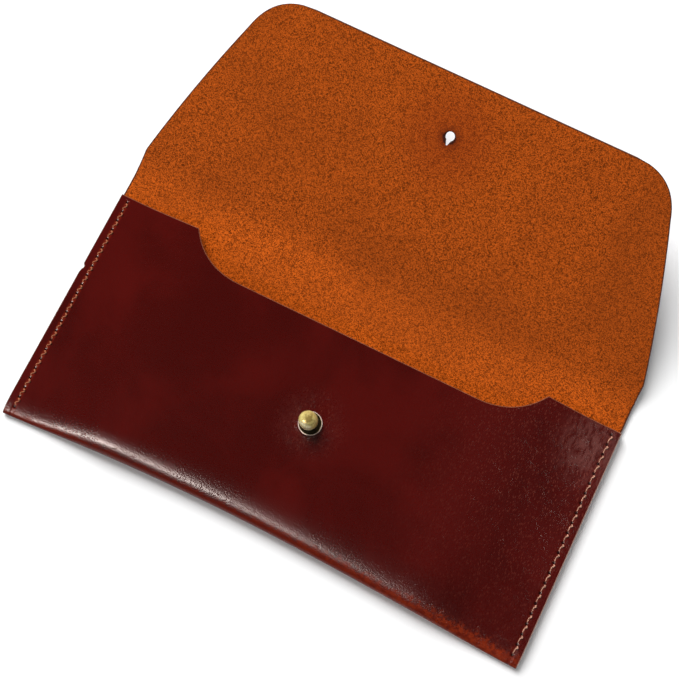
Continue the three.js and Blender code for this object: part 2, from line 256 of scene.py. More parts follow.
def leather_sheet(name, outer, inner, joined, distances):
    """A sheet between two grids of points, closed round its rim by a rounded edge.

    The column called joined meets the other piece of the hide, so it stays sharp. The other rim
    points move in by the rounding radius r, and rings of points join them: at an angle a
    a ring lies r sin(a) out from there and r (1 - cos(a)) in from the grain or flesh side.
    Faces of material slot 0 are the grain side, 1 the flesh side and 2 the cut edge.
    Each entry of distances becomes an attribute that the materials read: "rim" is a point's
    distance from the hide's outline, and "fold" its distance in from the bottom fold.
    """
    rows, columns = outer.shape[:2]
    count = rows * columns
    top = grid_faces(rows, columns)
    under = grid_faces(rows, columns, count)[:, ::-1]
    edge = rim(rows, columns)
    outer, inner = outer.reshape(-1, 3).copy(), inner.reshape(-1, 3).copy()
    through = outer[edge] - inner[edge]
    through /= np.linalg.norm(through, axis=1, keepdims=True)
    along = np.roll(outer[edge], -1, axis=0) - np.roll(outer[edge], 1, axis=0)
    out = np.cross(along, through)
    out *= -np.sign(np.sum(out * (outer.mean(0) - outer[edge]), 1).mean())
    out /= np.linalg.norm(out, axis=1, keepdims=True)
    radius = np.where(edge % columns == joined, SHARP_EDGE, settings().edge_round)[:, None]
    outer[edge] -= radius * out
    inner[edge] -= radius * out
    rings = []
    turns = np.radians([22, 45, 68, 90])
    for turn in turns:
        rings.append(outer[edge] + radius * (math.sin(turn) * out - (1 - math.cos(turn)) * through))
    for turn in turns[::-1]:
        rings.append(inner[edge] + radius * (math.sin(turn) * out + (1 - math.cos(turn)) * through))
    loops = [edge]
    for number in range(len(rings)):
        loops.append(2 * count + number * len(edge) + np.arange(len(edge)))
    loops.append(edge + count)
    side = []
    for above, below in zip(loops[:-1], loops[1:]):
        side.append(np.stack([np.roll(above, -1), above, below, np.roll(below, -1)], -1))
    side = np.concatenate(side)
    points = np.concatenate([outer, inner, *rings])
    obj = add_object(name, points, np.concatenate([top, under, side]).tolist())
    slots = np.concatenate([np.zeros(len(top)), np.ones(len(under)), np.full(len(side), 2)])
    obj.data.polygons.foreach_set("material_index", slots.astype(np.int32))
    for material in (grain_leather(), flesh_leather(), cut_edge()):
        obj.data.materials.append(material)
    for key, values in distances.items():
        attribute = obj.data.attributes.new(key, "FLOAT", "POINT")
        values = values.ravel()
        values = np.concatenate([values, values, np.tile(values[edge], len(rings))])
        attribute.data.foreach_set("value", values.astype(np.float32))
    return obj


def sheet_normals(points):
    """Unit normals of a grid of points: the cross product of its two directions."""
    along = np.gradient(points, axis=0)
    across = np.gradient(points, axis=1)
    normal = np.cross(across, along)
    return normal / np.maximum(np.linalg.norm(normal, axis=-1, keepdims=True), 1e-12)


def front_rise(x):
    """From 0 on the glued strips to 1 where the front lies level: a smooth step of the distance in."""
    return smoothstep(HALF_WIDTH - SEAM_MARGIN - np.abs(x), 0, SIDE_RAMP)


def pocket_top(x):
    """Height of the front's grain side: low on the glued strips, level between them."""
    return SEAM_THICKNESS + (FRONT_TOP - SEAM_THICKNESS) * front_rise(x)


def fold_line(x):
    """The bottom fold's outermost line: a power of one minus the square of the shifted place across."""
    shifted = (x - FOLD_BOW_SHIFT * (1 - (x / HALF_WIDTH) ** 2)) / HALF_WIDTH
    return FOLD_Y + FOLD_BOW * np.maximum(0, 1 - shifted**2) ** 1.3


def roll_reach(x):
    """How far in from the bottom fold its roll reaches: a slow smooth step from the left, a quick one
    from the right.
    """
    from_left = smoothstep(x + HALF_WIDTH, 20 * MM, 130 * MM)
    from_right = smoothstep(HALF_WIDTH - x, SEAM_MARGIN, SEAM_MARGIN + SIDE_RAMP)
    return SEAM_ROLL + (FOLD_ROLL - SEAM_ROLL) * from_left * from_right


def front_height(x, y):
    """Height of the front's grain side over the table: level, and a quarter of an ellipse on the roll."""
    top = pocket_top(x)
    level = top * FOLD_LEVEL
    near = np.clip(1 - (y - fold_line(x)) / roll_reach(x), 0, 1)
    return level + (top - level) * np.sqrt(1 - near**2)


def quadratic(start, aim, end, t):
    """A quadratic curve through its ends that sets off towards its aim."""
    start, aim, end = (np.array(p)[None] for p in (start, aim, end))
    t = t[:, None]
    return (1 - t) ** 2 * start + 2 * t * (1 - t) * aim + t**2 * end


def front_edge(x):
    """The front's top edge: straight, with a thumb notch whose shoulders are quadratic curves."""
    top = FOLD_Y + FRONT_HEIGHT
    end = NOTCH_WIDTH / 2
    shoulder = quadratic(
        (end, top), (end - NOTCH_ENTRY, top - NOTCH_DEPTH), (end - NOTCH_SHOULDER, top - NOTCH_DEPTH),
        np.linspace(0, 1, 60),
    )
    return np.interp(np.abs(x - NOTCH_SHIFT), shoulder[::-1, 0], shoulder[::-1, 1], right=top)


def width_stations():
    """Places across the hide, closest together at the notch's steep ends."""
    outer = NOTCH_WIDTH / 2 + 1 * MM
    inner = NOTCH_WIDTH / 2 - 9 * MM
    places = [-HALF_WIDTH, NOTCH_SHIFT - outer, NOTCH_SHIFT - inner]
    places += [NOTCH_SHIFT + inner, NOTCH_SHIFT + outer, HALF_WIDTH]
    stations = [places[:1]]
    for start, end, count in zip(places[:-1], places[1:], (30, 25, 110, 25, 30)):
        stations.append(np.linspace(start, end, count)[1:])
    return np.concatenate(stations)


def front_unevenness(x, y):
    """Soft waves of the front: a few sines of different lengths, faded out at seams and fold."""
    waves = (
        np.sin(x / (19 * MM) + 1.3) * np.sin(y / (23 * MM) + 0.4)
        + 0.6 * np.sin(x / (11 * MM) - y / (17 * MM) + 2.1)
        + 0.4 * np.sin(x / (31 * MM) + y / (9 * MM) + 0.7)
    )
    return settings().front_waves * waves * front_rise(x)


def crease_path(distance):
    """Y and Z of the hide's inner side past the start of the lower crease's bend.

    The hide turns up from level to the flap's lift as a smooth step of the distance.
    """
    reach = 2 * CREASE_REACH + SPINE
    steps = np.linspace(0, reach, 400)
    turn = FLAP_LIFT * smoothstep(steps, 0, reach)
    run = np.diff(steps, prepend=0)
    y = np.cumsum(np.cos(turn) * run)
    z = np.cumsum(np.sin(turn) * run)
    beyond = np.maximum(distance - reach, 0)
    inside = np.minimum(distance, reach)
    start_y = LOWER_CREASE.y - CREASE_REACH
    return (
        start_y + np.interp(inside, steps, y) + beyond * math.cos(FLAP_LIFT),
        LEATHER + np.interp(inside, steps, z) + beyond * math.sin(FLAP_LIFT),
    )


def crease_turn(distance):
    """Angle that the hide has turned up by at a distance past the start of the bend."""
    return FLAP_LIFT * smoothstep(distance, 0, 2 * CREASE_REACH + SPINE)


def build_pocket_leather():
    """The hide from the front's top edge, round the bottom fold, to the middle of the spine.

    Each line across is at one place on a profile: down the front, a quarter of an ellipse onto the
    fold, another under it, along the back, and up the lower crease.
    """
    x = width_stations()[:, None]
    rise = front_rise(x)
    top = pocket_top(x)
    fold = fold_line(x)
    level = top * FOLD_LEVEL
    over = roll_reach(x)
    under = LEATHER + (FOLD_UNDER - LEATHER) * rise
    down = np.linspace(0, 1, 70)[None, :]
    front_y = front_edge(x) * (1 - down) + (fold + over) * down
    waves = front_unevenness(x, front_y)
    front_z = top + waves * smoothstep(front_y, fold + over, fold + over + WAVE_FADE)
    turn = np.linspace(0, 1, 26)[None, 1:] * math.pi / 2
    roll_y = fold + over * (1 - np.sin(turn))
    roll_z = level + (top - level) * np.cos(turn)
    under_y = fold + under * (1 - np.cos(turn))
    under_z = level * (1 - np.sin(turn))
    along = np.linspace(0, 1, 40)[None, 1:]
    back_y = (fold + under) * (1 - along) + (LOWER_CREASE.y - CREASE_REACH) * along
    back_z = np.zeros_like(back_y)
    bend = np.linspace(0, CREASE_REACH + SPINE / 2, 16)[None, 1:]
    inner_y, inner_z = crease_path(bend)
    rest = crease_turn(bend)
    bend_y = np.broadcast_to(inner_y + LEATHER * np.sin(rest), (len(x), bend.size))
    bend_z = np.broadcast_to(inner_z - LEATHER * np.cos(rest), (len(x), bend.size))
    y = np.concatenate([front_y, roll_y, under_y, back_y, bend_y], 1)
    z = np.concatenate([front_z, roll_z, under_z, back_z, bend_z], 1)
    outer = np.stack([np.broadcast_to(x, y.shape), y, z], -1)
    inward = -sheet_normals(outer)
    inward[..., 0] = 0
    inward /= np.linalg.norm(inward, axis=-1, keepdims=True)
    inner = outer + inward * LEATHER
    inner = nick_left_edge(keep_layers_apart(inner))
    outer = nick_left_edge(outer)
    from_top = np.where(outer[..., 2] > LEATHER, front_edge(outer[..., 0]) - outer[..., 1], HALF_WIDTH)
    from_rim = np.minimum(from_top, HALF_WIDTH - np.abs(outer[..., 0]))
    from_fold = outer[..., 1] - np.broadcast_to(fold, y.shape)
    distances = {"rim": from_rim, "fold": from_fold}
    obj = leather_sheet("pocket_leather", outer, inner, y.shape[1] - 1, distances)
    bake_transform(obj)
    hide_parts("pocket")


def keep_layers_apart(inner):
    """Holds the inner side of the front above that of the back, so that the two never cross."""
    upper = inner[..., 2] > LEATHER
    flat = inner[..., 1] < LOWER_CREASE.y - CREASE_REACH
    floor = np.where(upper & flat, LEATHER + LAYER_GAP, -1)
    inner[..., 2] = np.maximum(inner[..., 2], floor)
    return inner


def nick_left_edge(points):
    """A small nick in the left edge of the front: points near it move in by a bell curve."""
    near = np.exp(-(((points[..., 1] - FOLD_Y - NICK_PLACE) / NICK_WIDTH) ** 2))
    edge = smoothstep(-points[..., 0], HALF_WIDTH - 2 * MM, HALF_WIDTH)
    on_front = points[..., 2] > 1.5 * MM
    points[..., 0] += NICK_DEPTH * near * edge * on_front
    return points


def flap_half_width(distance):
    """Half the flap's width at a distance from the upper crease: straight, narrowing, rounded."""
    tip = HOLE_HEIGHT + TIP_BEYOND_HOLE
    corner = np.array([TIP_WIDTH / 2, tip])
    shoulder = np.array([HALF_WIDTH, FLAP_STRAIGHT])
    side = (shoulder - corner) / np.linalg.norm(shoulder - corner)
    rounding = corner + CORNER_REACH * side
    swell = (shoulder + rounding) / 2 + 2 * SIDE_SWELL * np.array([-side[1], side[0]])
    t = np.linspace(0, 1, 120)
    narrowing = quadratic(shoulder, swell, rounding, t)
    corner_curve = quadratic(rounding, corner, corner - (CORNER_REACH, 0), t)
    outline = np.concatenate([[[HALF_WIDTH, -1]], narrowing, corner_curve[1:]])
    return np.interp(distance, outline[:, 1], outline[:, 0])


def keyhole():
    """Outline of the button hole, flat: a circle with a slit that narrows towards the crease."""
    open_turn = math.asin(SLIT_MOUTH / 2 / HOLE_RADIUS)
    turn = -math.pi / 2 + np.linspace(open_turn, 2 * math.pi - open_turn, 65)
    circle = HOLE_RADIUS * np.stack([np.cos(turn), np.sin(turn)], -1)
    end = np.array([[-SLIT_END / 2, -SLIT_REACH], [SLIT_END / 2, -SLIT_REACH]])
    return np.concatenate([circle, end])


def cut_button_hole(obj):
    """Cuts the button hole through the flap with a prism of the hole's outline."""
    outline = keyhole()
    count = len(outline)
    length = 6 * MM
    rings = []
    for height in (-length, length):
        rings.append(np.column_stack([outline, np.full(count, height)]))
    points = np.concatenate(rings) @ np.array(FLAP_TURN).T + np.array(HOLE_PLACE)
    around = grid_faces(2, count, closed=True).tolist()
    caps = [list(range(count))[::-1], list(range(count, 2 * count))]
    cutter = add_object("hole_cutter", points, around + caps)
    for material in obj.data.materials:
        cutter.data.materials.append(material)
    cutter.data.polygons.foreach_set("material_index", np.full(len(cutter.data.polygons), 2, np.int32))
    cut = obj.modifiers.new("Button hole", "BOOLEAN")
    cut.object = cutter
    cut.operation = "DIFFERENCE"
    cut.solver = "EXACT"
    depsgraph = bpy.context.evaluated_depsgraph_get()
    made = bpy.data.meshes.new_from_object(obj.evaluated_get(depsgraph))
    obj.modifiers.clear()
    obj.data = made
    bpy.data.objects.remove(cutter)


def build_flap_leather():
    """The hide from the middle of the spine to the flap's tip: lines across as wide as the outline.

    Points along a line follow the sine of an even turn, so they lie closer together at its ends.
    """
    tip = HOLE_HEIGHT + TIP_BEYOND_HOLE
    start = CREASE_REACH + SPINE / 2
    crease = CREASE_REACH + SPINE
    body = np.linspace(start, crease + tip - CORNER_REACH, 90)
    corner = crease + tip - CORNER_REACH * np.linspace(1, 0, 36)[1:]
    distance = np.concatenate([body, corner])
    half = flap_half_width(distance - crease)
    spread = math.radians(70)
    across = np.sin(np.linspace(-1, 1, 181) * spread) / math.sin(spread)
    x = across[:, None] * half[None, :]
    y, z = crease_path(distance)
    turn = crease_turn(distance)
    inner = np.stack([x, np.broadcast_to(y, x.shape), np.broadcast_to(z, x.shape)], -1)
    inward = np.stack([np.zeros_like(turn), -np.sin(turn), np.cos(turn)], -1)
    outer = inner - inward[None] * LEATHER
    from_rim = np.minimum(half - np.abs(x), crease + tip - distance)
    from_fold = np.full_like(from_rim, LOWER_CREASE.y - FOLD_Y)
    obj = leather_sheet("flap_leather", outer, inner, 0, {"rim": from_rim, "fold": from_fold})
    cut_button_hole(obj)
    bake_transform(obj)
    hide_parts("spine", "flap")


def seam_holes():
    """Places of a seam's stitch holes up the front, evenly spaced."""
    length = FRONT_HEIGHT - SEAM_END - SEAM_START
    return FOLD_Y + SEAM_START + length * np.arange(STITCH_COUNT + 1) / STITCH_COUNT


def tube(name, path, radius, sides=12):
    """A thread along a path: a ring at each point, square to the path, closed at both ends.

    Its radius swells and sinks twice round, and turns with the length, as two twisted plies do.
    """
    ahead = np.gradient(path, axis=0)
    ahead /= np.linalg.norm(ahead, axis=1, keepdims=True)
    side = np.tile(np.array([1.0, 0, 0]), (len(path), 1))
    side -= ahead * np.sum(side * ahead, 1, keepdims=True)
    side /= np.linalg.norm(side, axis=1, keepdims=True)
    up = np.cross(ahead, side)
    length = np.cumsum(np.linalg.norm(np.diff(path, axis=0, prepend=path[:1]), axis=1))
    turn = np.linspace(0, 2 * math.pi, sides, endpoint=False)
    phase = 2 * math.pi * length[:, None] / PLY_PITCH
    size = radius * (0.86 + 0.2 * np.cos(2 * (turn[None] - phase)))
    ring = side[:, None] * np.cos(turn)[None, :, None] + up[:, None] * np.sin(turn)[None, :, None]
    points = path[:, None] + ring * size[..., None]
    count = len(path) * sides
    faces = grid_faces(len(path), sides, closed=True).tolist()
    faces.append(list(range(sides))[::-1])
    faces.append(list(range(count - sides, count)))
    return add_object(name, points, faces)


def build_thread(name, x, height, dip, slant, weave=0.0, on_front=False):
    """One thread of a seam: low from hole to hole, down into each hole as a cosine to a power.

    Before each hole it hooks sideways and stands highest, by a bell curve of the distance along.
    A seam with a weave also swings from side to side twice a stitch, by a sine of that height.
    A thread on the front lies at a height over the leather, and so comes down on the fold's roll.
    """
    holes = seam_holes()
    pitch = holes[1] - holes[0]
    steps = 32
    place = np.linspace(0, STITCH_COUNT, STITCH_COUNT * steps + 1)
    depth = np.abs(np.cos(math.pi * place)) ** 11
    before = np.exp(-(((1 - place % 1 - 0.22) / 0.13) ** 2))
    at_hole = np.exp(-((np.minimum(place % 1, 1 - place % 1) / 0.1) ** 2))
    across = x + slant * (before - 0.9 * at_hole) + weave * np.sin(4 * math.pi * place)
    if on_front:
        height = height + front_height(x, holes[0] + place * pitch)
    up = height + THREAD_RADIUS * (0.9 * before - 0.2) + (dip - height) * depth
    path = np.stack([across, holes[0] + place * pitch, up], -1)
    swell = 0.68 + 0.5 * before + 0.25 * at_hole
    obj = tube(name + "_strand", path, THREAD_RADIUS * swell[:, None])
    obj.data.materials.append(waxed_thread())
    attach(obj, "pocket_body")
    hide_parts(name)


def turned(outline, segments=72):
    """Points and faces turned about the Z axis, from radius and height pairs that start and end on it."""
    outline = np.array(outline)
    turn = np.linspace(0, 2 * math.pi, segments, endpoint=False)
    ring = outline[1:-1]
    points = np.stack(
        [ring[:, :1] * np.cos(turn), ring[:, :1] * np.sin(turn), np.repeat(ring[:, 1:], segments, 1)], -1
    )
    count = len(ring) * segments
    faces = grid_faces(len(ring), segments, closed=True).tolist()
    step = np.arange(segments)
    after = (step + 1) % segments
    low = np.full(segments, count)
    faces += np.stack([low, after, step], -1).tolist()
    faces += np.stack([low + 1, step + count - segments, after + count - segments], -1).tolist()
    ends = np.array([[0, 0, outline[0, 1]], [0, 0, outline[-1, 1]]])
    return np.concatenate([points.reshape(-1, 3), ends]), faces


def arc(centre, radius, start, end, count):
    """Points of a circle's arc, from one angle in degrees to another."""
    turn = np.radians(np.linspace(start, end, count))
    return np.stack([centre[0] + radius * np.cos(turn), centre[1] + radius * np.sin(turn)], -1)


def build_stud():
    """The stud: a shallow cup with a thin raised rim, a waisted neck, and a ball, all turned.

    Above the cup each point moves sideways with its height, because the post stands off upright.
    """
    flange = 4.2 * MM
    thick = 0.9 * MM
    rounding = 0.13 * MM
    neck = 1.7 * MM
    ball = 3.3 * MM
    start = math.degrees(math.asin(neck / ball))
    centre = thick + 1.6 * MM + ball * math.cos(math.radians(start))
    outline = np.concatenate([
        [[0, 0]],
        arc((flange - rounding, rounding), rounding, -90, 0, 6),
        arc((flange - rounding, thick - rounding), rounding, 0, 180, 10),
        arc((flange - 0.9 * MM, thick), 0.5 * MM, 0, -90, 6)[1:],
        arc((neck + 0.6 * MM, thick + 0.1 * MM), 0.6 * MM, 270, 180, 7),
        arc((0, centre), ball, start - 90, 90, 34)[:-1],
        [[0, centre + ball]],
    ])
    points, faces = turned(outline)
    points[:, 0] -= math.tan(STUD_LEAN) * np.maximum(points[:, 2] - thick, 0)
    points += (STUD_PLACE.x, STUD_PLACE.y, STUD_LOW[2])
    obj = add_object("stud_body", points, faces)
    obj.data.materials.append(antique_brass())
    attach(obj, "pocket_body")
    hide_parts("stud")


class Nodes:
    """Short calls that add nodes to a material or a group and link them."""

    def __init__(self, tree):
        self.tree = tree

    def add(self, kind, inputs=None, **options):
        node = self.tree.nodes.new(kind)
        for key, value in options.items():
            setattr(node, key, value)
        for key, value in (inputs or {}).items():
            if isinstance(value, bpy.types.NodeSocket):
                self.tree.links.new(value, node.inputs[key])
            else:
                node.inputs[key].default_value = value
        return node

    def math(self, operation, a, b=0.0, c=0.0):
        return self.add("ShaderNodeMath", {0: a, 1: b, 2: c}, operation=operation).outputs[0]

    def ramp(self, value, low, high, out_low=0.0, out_high=1.0, smooth=True):
        inputs = {"Value": value, "From Min": low, "From Max": high}
        inputs.update({"To Min": out_low, "To Max": out_high})
        kind = "SMOOTHSTEP" if smooth else "LINEAR"
        return self.add("ShaderNodeMapRange", inputs, interpolation_type=kind).outputs[0]

    def mix(self, factor, a, b):
        node = self.tree.nodes.new("ShaderNodeMix")
        node.data_type = "RGBA"
        for socket, value in ((node.inputs[0], factor), (node.inputs[6], a), (node.inputs[7], b)):
            if isinstance(value, bpy.types.NodeSocket):
                self.tree.links.new(value, socket)
            else:
                socket.default_value = value
        return node.outputs[2]

    def noise(self, place, scale, detail=3.0, rough=0.5, distortion=0.0):
        inputs = {"Vector": place, "Scale": scale, "Detail": detail}
        inputs.update({"Roughness": rough, "Distortion": distortion})
        return self.add("ShaderNodeTexNoise", inputs).outputs["Fac"]

    def distance(self, place, point):
        inputs = {0: place, 1: tuple(point)}
        return self.add("ShaderNodeVectorMath", inputs, operation="DISTANCE").outputs["Value"]

    def length(self, a, b):
        """The square root of the sum of both squares."""
        return self.math("SQRT", self.math("ADD", self.math("POWER", a, 2), self.math("POWER", b, 2)))


def rgba(colour, scale=1.0):
    """A colour with full alpha, scaled and held to 1."""
    return (*(min(1.0, c * scale) for c in colour), 1.0)


def new_material(name):
    """A material with its nodes and shader, or the one that exists and no nodes."""
    material = bpy.data.materials.get(name)
    if material:
        return material, None, None
    material = bpy.data.materials.new(name)
    material.use_nodes = True
    material.node_tree.nodes.clear()
    nodes = Nodes(material.node_tree)
    output = nodes.add("ShaderNodeOutputMaterial")
    shader = nodes.add("ShaderNodeBsdfPrincipled")
    material.node_tree.links.new(shader.outputs[0], output.inputs["Surface"])
    return material, nodes, shader


def leather_group():
    """Node group: pores, creases, specks, streaks, mottle and slow blotches, from a place on the hide."""
    name = "Leather grain"
    group = bpy.data.node_groups.get(name)
    if group:
        return group
    group = bpy.data.node_groups.new(name, "ShaderNodeTree")
    group.interface.new_socket("Place", in_out="INPUT", socket_type="NodeSocketVector")
    for socket in ("Pores", "Creases", "Specks", "Streaks", "Mottle", "Blotches"):
        group.interface.new_socket(socket, in_out="OUTPUT", socket_type="NodeSocketFloat")
    nodes = Nodes(group)
    inside = nodes.add("NodeGroupInput")
    outside = nodes.add("NodeGroupOutput")
    place = inside.outputs["Place"]
    pores = nodes.add("ShaderNodeTexVoronoi", {"Vector": place, "Scale": 1700, "Randomness": 1})
    pore = nodes.ramp(pores.outputs["Distance"], 0.05, 0.55)
    fine = nodes.noise(place, 900, 5, 0.6)
    group.links.new(nodes.math("MULTIPLY_ADD", fine, 0.6, pore), outside.inputs["Pores"])
    crease = nodes.noise(place, 240, 4, 0.65, 0.9)
    folded = nodes.math("ABSOLUTE", nodes.math("SUBTRACT", crease, 0.5))
    group.links.new(nodes.ramp(folded, 0.0, 0.035), outside.inputs["Creases"])
    slant = {"Vector": place, "Scale": (1, 0.3, 1), "Rotation": (0, 0, math.radians(-12))}
    drawn = nodes.add("ShaderNodeMapping", slant).outputs[0]
    dots = nodes.add("ShaderNodeTexVoronoi", {"Vector": drawn, "Scale": 2100, "Randomness": 1})
    dot = nodes.ramp(dots.outputs["Distance"], 0.1, 0.4, 1, 0)
    few = nodes.ramp(nodes.noise(drawn, 700, 3, 0.6), 0.36, 0.52)
    group.links.new(nodes.noise(drawn, 900, 3, 0.6), outside.inputs["Streaks"])
    group.links.new(nodes.math("MULTIPLY", dot, few), outside.inputs["Specks"])
    group.links.new(nodes.noise(place, 600, 4, 0.6, 0.5), outside.inputs["Mottle"])
    group.links.new(nodes.noise(place, 26, 4, 0.55, 0.4), outside.inputs["Blotches"])
    return group


def stitch_pits(nodes, x, y):
    """Two masks from a place on the hide: pits round the stitch holes, and grooves along the seams."""
    holes = seam_holes()
    pitch = float(holes[1] - holes[0])
    seam_x = HALF_WIDTH - SEAM_INSET
    off_line = nodes.math("ABSOLUTE", nodes.math("SUBTRACT", nodes.math("ABSOLUTE", x), seam_x))
    steps = nodes.math("DIVIDE", nodes.math("SUBTRACT", y, float(holes[0])), pitch)
    past_hole = nodes.math("SUBTRACT", steps, nodes.math("ROUND", steps))
    off_hole = nodes.math("MULTIPLY", past_hole, pitch)
    pit = nodes.ramp(nodes.length(off_line, off_hole), 0.2 * MM, 0.8 * MM, 0.9, 0)
    groove = nodes.ramp(off_line, 0.3 * MM, 1.1 * MM, 1, 0)
    before = nodes.ramp(y, float(holes[-1]) + 0.8 * MM, float(holes[-1]) + 1.0 * MM, 1, 0)
    return nodes.math("MULTIPLY", pit, before), nodes.math("MULTIPLY", groove, before)


def grain_leather():
    """The dyed and polished outside: dark red-brown, redder in a strip along the fold.

    Towards the right and round the stud it has fine creases and reddish specks, and a painted greyish
    sheen at the right seam's top, which stands in for a reflection. Pits and grooves darken both seams;
    the pits' darkness is painted shade.
    """
    material, nodes, shader = new_material("Oxblood grain")
    if not nodes:
        return material
    place = nodes.add("ShaderNodeTexCoord").outputs["Object"]
    parts = nodes.add("ShaderNodeSeparateXYZ", {0: place}).outputs
    grain = nodes.add("ShaderNodeGroup", {}, node_tree=leather_group())
    material.node_tree.links.new(place, grain.inputs["Place"])
    burnish = rgba(settings().burnish_colour)
    blotch = nodes.ramp(grain.outputs["Blotches"], 0.36, 0.64)
    colour = nodes.mix(blotch, rgba(settings().grain_colour, 0.8), rgba(settings().grain_colour, 1.15))

    to_right = nodes.ramp(parts["X"], -60 * MM, 95 * MM)
    from_fold = nodes.add("ShaderNodeAttribute", attribute_name="fold").outputs["Fac"]
    reach = nodes.math("MULTIPLY_ADD", to_right, 1.7 * MM, 1.8 * MM)
    reach = nodes.math("MULTIPLY", reach, nodes.ramp(grain.outputs["Pores"], 0.3, 1.4, 0.7, 1.25))
    reach = nodes.math("MULTIPLY", reach, nodes.ramp(grain.outputs["Mottle"], 0.35, 0.65, 0.75, 1.25))
    rubbed = nodes.ramp(nodes.math("DIVIDE", from_fold, reach), 0.4, 1.3, 1, 0)
    mottle = nodes.ramp(grain.outputs["Mottle"], 0.38, 0.62, 0.1, 1)
    orange = nodes.math("MULTIPLY", nodes.math("POWER", to_right, 1.5), mottle)
    strip = nodes.mix(orange, burnish, FOLD_ORANGE)
    colour = nodes.mix(nodes.math("MULTIPLY", rubbed, 0.9), colour, strip)

    worn = nodes.math(
        "MULTIPLY",
        nodes.ramp(parts["X"], 20 * MM, 90 * MM),
        nodes.ramp(parts["Y"], FOLD_Y + 10 * MM, FOLD_Y + 75 * MM, 0.45, 1),
    )
    # The corner by the right seam's top counts as worn, and it also takes a painted sheen that stands in
    # for a reflection
    corner = (HALF_WIDTH - 7 * MM, FOLD_Y + 78 * MM, SEAM_THICKNESS)
    worn_and_sheen_corner = nodes.ramp(nodes.distance(place, corner), 1 * MM, 18 * MM, 1, 0)
    near_stud = nodes.ramp(nodes.distance(place, STUD_PLACE), 5 * MM, 16 * MM, 0.7, 0)
    worn = nodes.math("MAXIMUM", worn, near_stud)
    worn = nodes.math("MAXIMUM", worn, worn_and_sheen_corner)
    specks = nodes.math("MULTIPLY", grain.outputs["Specks"], worn)
    colour = nodes.mix(nodes.math("MULTIPLY", specks, 0.7), colour, SPECK_RED)
    # painted reflection: a streaked greyish sheen mixed into the colour at that corner
    painted_sheen = nodes.math("MULTIPLY", worn_and_sheen_corner, nodes.ramp(grain.outputs["Streaks"], 0.36, 0.62, 0.1, 0.8))
    colour = nodes.mix(painted_sheen, colour, PAINTED_CORNER_SHEEN)

    pit, groove = stitch_pits(nodes, parts["X"], parts["Y"])
    red = nodes.ramp(parts["X"], -20 * MM, 20 * MM, 0.9, 0.3)
    colour = nodes.mix(nodes.math("MULTIPLY", groove, red), colour, burnish)
    # painted shade: the stitch pits are darkened to stand in for the shade inside the holes
    colour = nodes.mix(pit, colour, PIT_SHADE)
    material.node_tree.links.new(colour, shader.inputs["Base Color"])

    rough = nodes.math("MULTIPLY_ADD", worn, 0.12, 0.2)
    rough = nodes.math("MULTIPLY_ADD", grain.outputs["Pores"], 0.04, rough)
    material.node_tree.links.new(rough, shader.inputs["Roughness"])
    grainy = nodes.ramp(grain.outputs["Pores"], 0.3, 1.35, 0.2, 1.45)
    gloss = nodes.math("MULTIPLY", nodes.ramp(rubbed, 0, 1, 0.5, 0.1), grainy)
    material.node_tree.links.new(gloss, shader.inputs["Specular IOR Level"])
    creased = nodes.math("MULTIPLY", grain.outputs["Creases"], worn)
    depth = nodes.math("MULTIPLY_ADD", grain.outputs["Pores"], 0.9, creased)
    depth = nodes.math("SUBTRACT", depth, nodes.math("MULTIPLY", pit, 6))
    depth = nodes.math("SUBTRACT", depth, nodes.math("MULTIPLY", groove, 3))
    bump = nodes.add("ShaderNodeBump", {"Strength": 0.8, "Distance": 0.05 * MM, "Height": depth})
    material.node_tree.links.new(bump.outputs[0], shader.inputs["Normal"])
    return material


def flesh_leather():
    """The suede inside: orange tan, with a short mottled nap and slow darker zones.

    It is stained in rings round the button hole, and dark with dye close to the rim.
    """
    material, nodes, shader = new_material("Tan flesh side")
    if not nodes:
        return material
    place = nodes.add("ShaderNodeTexCoord").outputs["Object"]
    flesh = settings().flesh_colour
    nap = nodes.noise(place, 2600, 3, 0.7, 0.6)
    fibre = nodes.noise(place, 1300, 3, 0.6, 1.2)
    zone = nodes.noise(place, 20, 3, 0.5)
    mottled = nodes.math("ADD", nodes.math("MULTIPLY", nap, 0.65), nodes.math("MULTIPLY", fibre, 0.35))
    colour = nodes.mix(nodes.ramp(mottled, 0.41, 0.59), rgba(flesh, 0.34), rgba(flesh, 1.8))
    colour = nodes.mix(nodes.ramp(zone, 0.35, 0.65, 0.32, 0), colour, FLESH_ZONE)
    dark_place = HOLE_PLACE - Vector((0, 0.6 * MM, 0))
    off_hole = nodes.math("MULTIPLY_ADD", fibre, 0.8 * MM, nodes.distance(place, dark_place))
    for near, far, amount, stain in HOLE_STAINS:
        colour = nodes.mix(nodes.ramp(off_hole, near, far, amount, 0), colour, stain)
    rim_distance = nodes.add("ShaderNodeAttribute", attribute_name="rim").outputs["Fac"]
    at_rim = nodes.ramp(rim_distance, 0.2 * MM, 0.7 * MM, 0.8, 0)
    colour = nodes.mix(at_rim, colour, RIM_DYE)
    material.node_tree.links.new(colour, shader.inputs["Base Color"])
    shader.inputs["Roughness"].default_value = 0.9
    shader.inputs["Specular IOR Level"].default_value = 0.1
    bump = nodes.add("ShaderNodeBump", {"Strength": 0.6, "Distance": 0.12 * MM, "Height": mottled})
    material.node_tree.links.new(bump.outputs[0], shader.inputs["Normal"])
    return material


